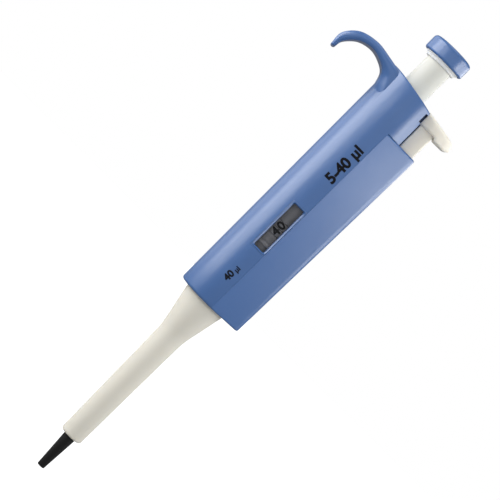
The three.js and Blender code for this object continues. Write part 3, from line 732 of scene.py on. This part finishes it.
def window_frame():
    border = 0.72
    bevel = 0.42
    middle = (FRAME_LOW.z + FRAME_HIGH.z) / 2
    half_w = FRAME_HIGH.x - 0.01
    half_h = (FRAME_HIGH.z - FRAME_LOW.z) / 2 - 0.01
    side = rounded_edge(1.4, -0.1, 0.12)
    outer = rounded_slab("window_frame_visual", half_w, half_h, 0.25, side, middle)
    hole_side = [(0, 3), (0, 0.45), (-bevel, -0.12), (-bevel, -2)]
    hole = rounded_slab("hole", half_w - border, half_h - border, 0.7, hole_side, middle)
    cut(outer, hole)
    tidy_mesh(outer)
    wrapped(outer, BODY_R)
    shade(outer)
    return place(outer, "handle", "body_blue", BLUE, "window_frame")


def window_pane():
    middle = (PANE_LOW.z + PANE_HIGH.z) / 2
    half_w = PANE_HIGH.x
    half_h = (PANE_HIGH.z - PANE_LOW.z) / 2
    side = rounded_edge(1.2, 0.3, 0.08)
    pane = rounded_slab("window_pane_visual", half_w, half_h, 0.7, side, middle)
    wrapped(pane, BODY_R)
    shade(pane)
    return place(pane, "handle", "lens", LENS, "window_pane")


# ---------------------------------------------------------------- printed marks

# How far the ink's outline is moved outwards, as a share of the letters' size.
BOLDNESS = 0.04
# The ink's top and its hidden underside, above and below the surface that it is printed on.
INK_HEIGHT = 0.025
INK_SUNK = 0.02


def flat_text(text):
    """The filled outline of a text in the XY plane, at a size of 1."""
    curve = bpy.data.curves.new("text", "FONT")
    curve.body = text
    curve.size = 1
    curve.resolution_u = 6
    source = bpy.data.objects.new("text", curve)
    bpy.context.scene.collection.objects.link(source)
    bpy.context.view_layer.update()
    evaluated = source.evaluated_get(bpy.context.evaluated_depsgraph_get())
    mesh = bpy.data.meshes.new_from_object(evaluated)
    bpy.data.objects.remove(source)
    bm = bmesh.new()
    bm.from_mesh(mesh)
    bmesh.ops.remove_doubles(bm, verts=bm.verts, dist=1e-4)
    return bm


def embolden(bm, amount):
    """Moves the outline of flat lettering outwards and keeps its faces."""
    moves = {}
    for edge in bm.edges:
        if not edge.is_boundary:
            continue
        a, b = (v.co for v in edge.verts)
        out = (b - a).cross(Vector((0, 0, 1))).normalized()
        if out.dot(edge.link_faces[0].calc_center_median() - a) > 0:
            out.negate()
        for v in edge.verts:
            moves.setdefault(v, []).append(out)
    for v, normals in moves.items():
        out = sum(normals, Vector()).normalized()
        v.co += out * amount / max(out.dot(normals[0]), 0.7)


def lettering(name, text, height, r, z, middle_x=0.0, centred=False):
    """Raised ink round a cylinder of radius r that reads up the Z axis, its tops towards -X."""
    bm = flat_text(text)
    embolden(bm, BOLDNESS)
    ys = [v.co.y for v in bm.verts]
    xs = [v.co.x for v in bm.verts]
    scale = height / (max(ys) - min(ys))
    shift_x = (min(xs) + max(xs)) / 2 if centred else min(xs)
    shift_y = (min(ys) + max(ys)) / 2
    for v in bm.verts:
        v.co = Vector(((v.co.x - shift_x) * scale, (v.co.y - shift_y) * scale, 0))
    slice_faces(bm, [k / 16 * height for k in range(-7, 8)], 1)
    bmesh.ops.remove_doubles(bm, verts=bm.verts, dist=1e-3)
    raised = bmesh.ops.extrude_face_region(bm, geom=bm.faces[:])
    for v in raised["geom"]:
        if isinstance(v, bmesh.types.BMVert):
            v.co.z = INK_SUNK + INK_HEIGHT
    for v in bm.verts:
        reading, up, out = v.co
        angle = (middle_x - up) / r
        depth = r - INK_SUNK + out
        v.co = Vector((depth * math.sin(angle), -depth * math.cos(angle), z + reading))
    return collect(bm, name)


def drum_digits():
    """Ten digits round each drum; the ones at the window at rest are 4 and 0."""
    digit_height = 3.8
    turn = math.radians(36)
    for body, low, high, at_rest in (
        ("tens_drum", TENS_LOW, TENS_HIGH, 4),
        ("rotor", UNITS_LOW, UNITS_HIGH, 0),
    ):
        middle = (low.z + high.z) / 2
        for step in range(10):
            digit = (at_rest - step) % 10
            name = f"{body}_digit_{digit}"
            mark = lettering(name, str(digit), digit_height, DRUM_R, middle, centred=True)
            mark.data.transform(Matrix.Rotation(step * turn, 4, "Z"))
            place(mark, body, "black", INK)


def printed_marks():
    """The volume and its unit below the window, and the range above it."""
    for name, text, height, start, middle_x in (
        ("volume_mark", "40", 3.1, 103.9, -0.9),
        ("volume_unit", "µl", 2.6, 108.9, 0),
        ("volume_range", "5-40 µl", 5.8, 158.5, 0.9),
    ):
        mark = lettering(name, text, height, BODY_R, start, middle_x)
        place(mark, "handle", "black", INK)


# ---------------------------------------------------------------- counter behind the window

def ring_gear(name, r, low, high, edge):
    """A drum whose bore carries the teeth that the transfer pinion turns; a gap faces the pinion."""
    teeth = 32
    root, flank, tip = 8.45, 8.05, 7.65
    half_widths = (
        (-0.35, root), (-0.27, flank), (-0.2, tip), (0, tip), (0.2, tip), (0.27, flank), (0.35, root),
    )
    pitch = 2 * math.pi / teeth
    bore = []
    for i in range(teeth):
        middle = math.pi / 2 + (i + 0.5) * 2 * math.pi / teeth
        bore += [(radius, middle + width / radius) for width, radius in half_widths]
        bore.append((root, middle + pitch / 2))
    bm = bmesh.new()
    loops = []
    for inner, offset, z in (
        (False, -edge, low), (False, 0, low + edge), (False, 0, high - edge), (False, -edge, high),
        (True, 0, high), (True, 0, low),
    ):
        loop = []
        for radius, angle in bore:
            q = radius if inner else r + offset
            loop.append(bm.verts.new((q * math.cos(angle), q * math.sin(angle), z)))
        loops.append(loop)
    for lower, upper in zip(loops, loops[1:] + loops[:1]):
        bridge(bm, lower, upper)
    return collect(bm, name, 25)


DRUM_EDGE = 0.12
# The flanges of the counter's carrier and housing, and the holes through both for the frame's posts.
FLANGE_R = 10.6
POST_CIRCLE = 9.9
POST_ANGLES = (30, 150, 210)


def round_hole(radius, bottom, top, x, y, sides):
    """A cutter for an upright hole."""
    hole = lathe("hole", [(0, bottom, 0), (radius, bottom, 0), (radius, top, 0), (0, top, 0)], sides)
    hole.data.transform(Matrix.Translation((x, y, 0)))
    return hole


def post_holes():
    holes = []
    for degrees in POST_ANGLES:
        a = math.radians(degrees)
        x = POST_CIRCLE * math.cos(a)
        y = POST_CIRCLE * math.sin(a)
        holes.append(round_hole(0.6, 118, 185, x, y, 24))
    return holes


def tens_drum():
    drum = ring_gear("tens_drum_visual", DRUM_R, TENS_LOW.z, TENS_HIGH.z, DRUM_EDGE)
    return place(drum, "tens_drum", "drum_metal", GREY_METAL, "tens_drum")


def units_drum():
    hub, bore = 3.1, 8.6
    web = UNITS_HIGH.z - 1.1
    drum = lathe("units_drum_visual", [
        (hub, web, 0.1), (bore, web, 0.2), (bore, UNITS_LOW.z, DRUM_EDGE),
        (DRUM_R, UNITS_LOW.z, DRUM_EDGE), (DRUM_R, UNITS_HIGH.z, DRUM_EDGE), (hub, UNITS_HIGH.z, 0.1),
    ], 128, 3)
    return place(drum, "rotor", "drum_metal", GREY_METAL, "units_drum")


def counter_carrier():
    hub, bore = 3.2, 8.6
    flange_low, flange_high = 123.5, 125
    carrier = lathe("counter_carrier_visual", [
        (hub, flange_low, 0), (bore, flange_low, 0), (bore, CARRIER_LOW.z, 0.2),
        (DRUM_R, CARRIER_LOW.z, 0.2), (DRUM_R, flange_low, 0), (FLANGE_R, flange_low, 0.2),
        (FLANGE_R, flange_high, 0.2), (DRUM_R, flange_high, 0), (DRUM_R, CARRIER_HIGH.z, 0.1),
        (hub, CARRIER_HIGH.z, 0.1),
    ], 128, 3)
    # Its sides don't line up with the carrier's own, so that the cut leaves no gap in the mesh.
    pinion_shaft_hole = round_hole(0.7, 118, 135, 0, 6, 30)
    cut(carrier, pinion_shaft_hole, *post_holes())
    tidy_mesh(carrier)
    return place(carrier, "handle", "drum_metal", GREY_METAL, "counter_carrier")


def rotor_housing():
    bore, step_bore = 8.05, 4.6
    step_low, step_high = 139.1, 140.3
    flange_low, top = 143.9, HOUSING_HIGH.z
    housing = lathe("rotor_housing_visual", [
        (bore, HOUSING_LOW.z, 0.1), (DRUM_R, HOUSING_LOW.z, 0.1), (DRUM_R, flange_low, 0.2),
        (FLANGE_R, flange_low, 0.2), (FLANGE_R, top, 0.2), (bore, top, 0.2), (bore, step_high, 0),
        (step_bore, step_high, 0.2), (step_bore, step_low, 0.2), (bore, step_low, 0),
    ], 128, 3)
    cut(housing, *post_holes())
    tidy_mesh(housing)
    return place(housing, "handle", "drum_metal", GREY_METAL, "rotor_housing")


# ---------------------------------------------------------------- springs

def coil(name, mean, wire, bottom, top, turns, x):
    """A spring of round wire whose end turns lie flat and whose wire ends are closed."""
    per_turn = 40
    sides = 12
    # The wire is this much flatter than round, so that turns lying on each other keep a gap.
    flat = 0.96
    rise = (top - bottom - 3 * wire) / (turns - 2)
    rings = []
    for i in range(turns * per_turn + 1):
        t = i / per_turn
        closed = min(t, 1) + max(t - turns + 1, 0)
        height = bottom + wire / 2 + closed * wire + min(max(t - 1, 0), turns - 2) * rise
        turn = 2 * math.pi * t
        ring = []
        for j in range(sides):
            around = 2 * math.pi * j / sides
            r = mean + wire / 2 * math.cos(around)
            z = height + wire / 2 * flat * math.sin(around)
            ring.append((x + r * math.cos(turn), r * math.sin(turn), z))
        rings.append(ring)
    return loft(name, rings, 50)


# Node, body, joint, mean radius, wire, turns, place along X, and how far it is pressed together.
SPRINGS = (
    ("primary_spring", "handle", "piston_travel", 5.1, 0.8, 9, 0.0, 12.2),
    ("blowout_spring", "stop", "plunger_press", 4.6, 1.0, 6, 0.0, 2.4),
    ("ejector_spring", "handle", "ejector_press", 1.85, 0.5, 9, 14.5, 8.6),
)


def springs():
    """A steel coil for each spring node, reaching between the node's lowest and highest points and
    riding with its body.
    """
    overlap = 0.02
    for node, body, joint, mean, wire, turns, x, stroke in SPRINGS:
        low, high = corners(node)
        spring = coil(node + "_visual", mean, wire, low.z - overlap, high.z + overlap, turns, x)
        place(spring, body, "steel", STEEL, node)
        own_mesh(spring)


# ---------------------------------------------------------------- plunger

# The radius of the bore of the button and its ring, round the plunger's sleeve.
SLEEVE_FIT = 6.02


def push_button():
    r = BUTTON_HIGH.x
    bottom = BUTTON_LOW.z
    top = BUTTON_HIGH.z
    bore_top = top - 4
    button = lathe("push_button_visual", [
        (0, top - 0.35, 0), (5.2, top - 0.3, 2), (6.4, top, 0.9), (r, top, 2.2), (r, bottom, 0.9),
        (SLEEVE_FIT, bottom, 0.2), (SLEEVE_FIT, bore_top, 0.2), (0, bore_top, 0),
    ], 144, 10)
    return place(button, "plunger", "body_blue", BLUE, "push_button")


def button_ring():
    low = RING_LOW.z
    high = RING_HIGH.z
    ring = lathe("button_ring_visual", [
        (SLEEVE_FIT, low + 0.5, 0.2), (6.9, low + 0.55, 0.3), (7.5, high - 0.6, 0.5),
        (8.35, high, 0.1), (SLEEVE_FIT, high, 0.1),
    ], 128, 5)
    return place(ring, "plunger", "white", WHITE, "button_ring")


def plunger_sleeve():
    r = SLEEVE_HIGH.x
    low = SLEEVE_LOW.z
    high = SLEEVE_HIGH.z
    bore, neck = 4.6, 2.9
    neck_low = high - 2.5
    sleeve = lathe("plunger_sleeve_visual", [
        (bore, low, 0.15), (r, low, 0.35), (r, high, 0.2),
        (neck, high, 0.2), (neck, neck_low, 0), (bore, neck_low, 0),
    ], 128, 5)
    return place(sleeve, "plunger", "cream", PUSH_CREAM, "plunger_sleeve")


def guide_bush():
    inner, outer = 6.1, 6.85
    bush = lathe("guide_bush_visual", [
        (inner, BUSH_LOW.z, 0.3), (outer, BUSH_LOW.z, 0.1),
        (outer, BUSH_HIGH.z, 0.1), (inner, BUSH_HIGH.z, 0.2),
    ], 128, 4)
    return place(bush, "handle", "cream", CREAM, "guide_bush")


# ---------------------------------------------------------------- tip ejector

def ejector_bar():
    """The bar under the pad, tapered inside the cover."""
    left = 11
    right = 18
    half_width = 3.5
    rings = []
    for z, end, start in (
        (PAD_LOW.z, right - 1.4, left + 0.8),
        (176, right - 0.6, left),
        (WING_TOP, right, left),
        (PAD_STEP + 1.4, right, left),
    ):
        outline = rounded([
            (start, -half_width, 0.5),
            (end, -half_width, 0.9),
            (end, half_width, 0.9),
            (start, half_width, 0.5),
        ], 5)
        rings.append([(p.x, p.y, z) for p in outline])
    return loft("ejector_button_visual", rings)


def thumb_pad():
    """The thumb pad: sloping flat top, stepped underside, and a domed and rounded far end."""
    left = PAD_LOW.x
    tip = PAD_HIGH.x
    top_left = PAD_HIGH.z
    slope = 0.18
    # How far from its tip the pad starts to close in height, and to round in plan.
    nose = 2.8
    plan_round = 7.5
    step_at, step_run, step_drop = 18, 1.2, 1.25
    edge = 1.2
    steps = 56
    rings = []
    for i in range(steps + 1):
        x = left + (tip - left) * math.sin(i / steps * math.pi / 2)
        top = top_left - slope * (x - left)
        step_down = min(max((x - step_at) / step_run, 0), 1)
        bottom = PAD_STEP - step_drop * step_down**2 * (3 - 2 * step_down)
        half_width = 4.6 + 1.4 * min((x - left) / 8, 1)
        to_tip = tip - x
        if to_tip < nose:
            close = math.sqrt(max(1 - (1 - to_tip / nose) ** 2, 0.0004))
            middle = (top + bottom) / 2
            top = middle + (top - middle) * close
            bottom = middle + (bottom - middle) * close
        if to_tip < plan_round:
            half_width *= math.sqrt(max(1 - (1 - to_tip / plan_round) ** 2, 0.0005))
        half_height = (top - bottom) / 2
        r = min(edge, half_height * 0.9, half_width * 0.9)
        rings.append(pad_ring(x, (top + bottom) / 2, half_width, half_height, r))
    return loft("pad", rings)


def pad_ring(x, middle, half_width, half_height, r, arc=6):
    """Points round the pad's section at x, a rectangle with its corners rounded to r."""
    ring = []
    for quarter, (a, b) in enumerate(QUARTERS):
        for k in range(arc + 1):
            angle = (quarter + k / arc) * math.pi / 2
            y = a * (half_width - r) + r * math.cos(angle)
            ring.append((x, y, middle + b * (half_height - r) + r * math.sin(angle)))
    return ring


def ejector_button():
    button = ejector_bar()
    combine(button, thumb_pad(), "UNION")
    groove = box(0, 12, -1.3, 1.3, PAD_LOW.z - 1, PAD_HIGH.z + 1)
    cut(button, groove)
    tidy_mesh(button)
    return place(button, "ejector", "cream", PAD_CREAM, "ejector_button")


def ejector_sleeve():
    bottom = TUBE_LOW.z
    top = TUBE_HIGH.z
    end_bore, cup, cup_bore, flange = 2.95, 9.3, 8.25, 10.5
    flange_low, flange_high = 100.3, 101.6
    sleeve = lathe("ejector_sleeve_visual", [
        (end_bore, bottom, 0.15), (4.9, bottom, 1.1), (5.7, 71, 40), (6, 74.6, 28), (cup, 90.6, 2),
        (cup, flange_low, 0.2), (flange, flange_low, 0.2), (flange, flange_high, 0.2),
        (cup, flange_high, 0.2), (cup, top, 0.2), (cup_bore, top, 0.2), (cup_bore, 91.6, 1),
        (4.65, 73.2, 2), (3.6, bottom + 2.5, 0.4), (end_bore, bottom + 1.5, 0.2),
    ], 128, 6)
    return place(sleeve, "ejector", "cream", CREAM, "ejector_sleeve")


def nozzle_shaft():
    bottom = SHAFT_LOW.z
    top = SHAFT_HIGH.z
    collar, flange = 7.2, 9.4
    flange_low = 108.7
    # The bores, from the end of the air channel up to the spring's seat.
    tip_bore, channel, cylinder, seal_seat, spring_seat = 0.5, 0.85, 1.35, 4.2, 6.1
    shaft = lathe("nozzle_shaft_visual", [
        (tip_bore, bottom, 0.1), (1.65, bottom, 0.3), (2.8, 18, 0.5), (2.9, 68.8, 1),
        (3.4, 72.8, 1), (6.9, 91.8, 1), (collar, 92.8, 0.5), (collar, flange_low, 0.2),
        (flange, flange_low, 0.2), (flange, top, 0.2), (spring_seat, top, 0.2),
        (spring_seat, 92.2, 0.1), (seal_seat, 92.2, 0.2), (seal_seat, 82, 0.1),
        (cylinder, 82, 0.1), (cylinder, 46, 0.2), (channel, 45, 0.2), (channel, 4, 0.2),
        (tip_bore, 3, 0.2),
    ], 96, 4)
    return place(shaft, "handle", "black", BLACK, "nozzle_shaft")


# ---------------------------------------------------------------- stage, light and camera

def camera():
    """Looks at the front from slightly above, rolled so that the button points up and right."""
    target = NOZZLE_END + Vector((-1.53, 0, 118.1)) * MM
    azimuth = math.radians(-2)
    elevation = math.radians(2.4)
    distance = 0.794
    flat = math.cos(elevation)
    back = Vector((math.sin(azimuth) * flat, -math.cos(azimuth) * flat, math.sin(elevation)))
    roll_angle = math.radians(44.92)
    data = bpy.data.cameras.new("camera")
    data.lens = 146.6
    data.sensor_width = 36
    data.clip_end = 20
    obj = bpy.data.objects.new("camera", data)
    bpy.context.scene.collection.objects.link(obj)
    level = back.to_track_quat("Z", "Y")
    roll = Quaternion((0, 0, 1), roll_angle)
    obj.rotation_mode = "QUATERNION"
    obj.rotation_quaternion = level @ roll
    obj.location = target + back * distance
    bpy.context.scene.camera = obj


# Name, azimuth and span in degrees, lowest and highest edge in metres over the nozzle's end, and
# radiance. Azimuth 0 is the camera's side and 90 is the tip ejector's.
MIRRORED_LAMPS = (
    ("left_softbox", -72, 46, 0.05, 0.60, 4.4),
    ("left_side", -110, 60, 0.05, 0.60, 1.3),
    ("right_softbox", 86, 39, 0.05, 0.56, 3.8),
    ("shoulder_right", 66, 18, 0.198, 0.30, 6.0),
    ("button_left", -34, 24, 0.222, 0.32, 4.2),
    ("button_front", 10, 70, 0.250, 0.32, 0.8),
    ("button_right", 128, 44, 0.200, 0.32, 4.0),
)
# This one lights the colour of a surface and leaves no highlight on it.
FRONT_FILL = ("front_fill", 15, 50, 0.0, 0.55, 1.2)
LAMP_DISTANCE = 0.6


def lamp(name, shape, width, height, radiance):
    """A flat lamp of even brightness that the camera doesn't see."""
    data = bpy.data.lights.new(name, "AREA")
    data.shape = shape
    data.size = width
    data.size_y = height
    data.energy = radiance * math.pi * width * height
    obj = bpy.data.objects.new(name, data)
    bpy.context.scene.collection.objects.link(obj)
    obj.visible_camera = False
    return obj


def softbox(name, azimuth, span, low, high, radiance, mirrored=True):
    """An upright lamp round the pipette, as wide as the span of degrees that it fills."""
    a = math.radians(azimuth)
    back = Vector((math.sin(a), -math.cos(a), 0))
    width = 2 * LAMP_DISTANCE * math.tan(math.radians(span / 2))
    obj = lamp(name, "RECTANGLE", width, high - low, radiance)
    obj.location = NOZZLE_END + back * LAMP_DISTANCE + Vector((0, 0, (low + high) / 2))
    obj.rotation_mode = "QUATERNION"
    obj.rotation_quaternion = back.to_track_quat("Z", "Y")
    obj.visible_glossy = mirrored


def overhead_softbox():
    """A level lamp above the pipette that lightens its upward edges."""
    obj = lamp("overhead_softbox", "SQUARE", 0.5, 0.5, 1.1)
    obj.location = NOZZLE_END + Vector((0, -0.1, 0.8))


def surroundings():
    """A white room that is seen as white and lights the pipette only faintly."""
    room_strength = 0.30
    world = bpy.data.worlds.new("room")
    bpy.context.scene.world = world
    world.use_nodes = True
    tree = world.node_tree
    seen = tree.nodes.new("ShaderNodeBackground")
    seen.inputs["Color"].default_value = (1, 1, 1, 1)
    lit = tree.nodes["Background"]
    lit.inputs["Color"].default_value = (0.97, 0.98, 1, 1)
    lit.inputs["Strength"].default_value = room_strength
    mix = tree.nodes.new("ShaderNodeMixShader")
    path = tree.nodes.new("ShaderNodeLightPath")
    tree.links.new(path.outputs["Is Camera Ray"], mix.inputs["Fac"])
    tree.links.new(lit.outputs["Background"], mix.inputs[1])
    tree.links.new(seen.outputs["Background"], mix.inputs[2])
    tree.links.new(mix.outputs["Shader"], tree.nodes["World Output"].inputs["Surface"])
    bpy.context.scene.view_settings.view_transform = "Standard"
    for row in MIRRORED_LAMPS:
        softbox(*row)
    softbox(*FRONT_FILL, mirrored=False)
    overhead_softbox()


def floor():
    """A white floor that the pipette is held over, low enough for a view from below. It is bright
    itself, so it shows no horizon."""
    drop = 700
    half_size = 12
    bm = bmesh.new()
    bmesh.ops.create_grid(bm, x_segments=1, y_segments=1, size=half_size)
    obj = collect(bm, "floor")
    obj.location = NOZZLE_END + Vector((0, 0, -drop)) * MM
    obj.visible_diffuse = False
    obj.visible_glossy = False
    n = Nodes("pale_floor")
    cloudy = n.blend(n.noise(scale=3, detail=2), (0.93, 0.93, 0.93), (0.97, 0.97, 0.97))
    n.link(cloudy, n.shader, "Base Color")
    n.set(Roughness=0.8, Emission_Color=(1, 1, 1, 1), Emission_Strength=1.0)
    obj.data.materials.append(n.material)


# ---------------------------------------------------------------- everything

camera()
surroundings()
floor()

slots = {row["node"]: row["material_slot"] for row in frame["record"]["subparts"]}
for node, cad in frame["nodes"].items():
    cad.data.materials.clear()
    cad.data.materials.append(FINISHES[slots[node]])
    shade(cad)

handle_shell()
ejector_cover()
window_frame()
window_pane()
printed_marks()
tens_drum()
units_drum()
counter_carrier()
rotor_housing()
drum_digits()
springs()
push_button()
button_ring()
plunger_sleeve()
guide_bush()
ejector_button()
ejector_sleeve()
nozzle_shaft()
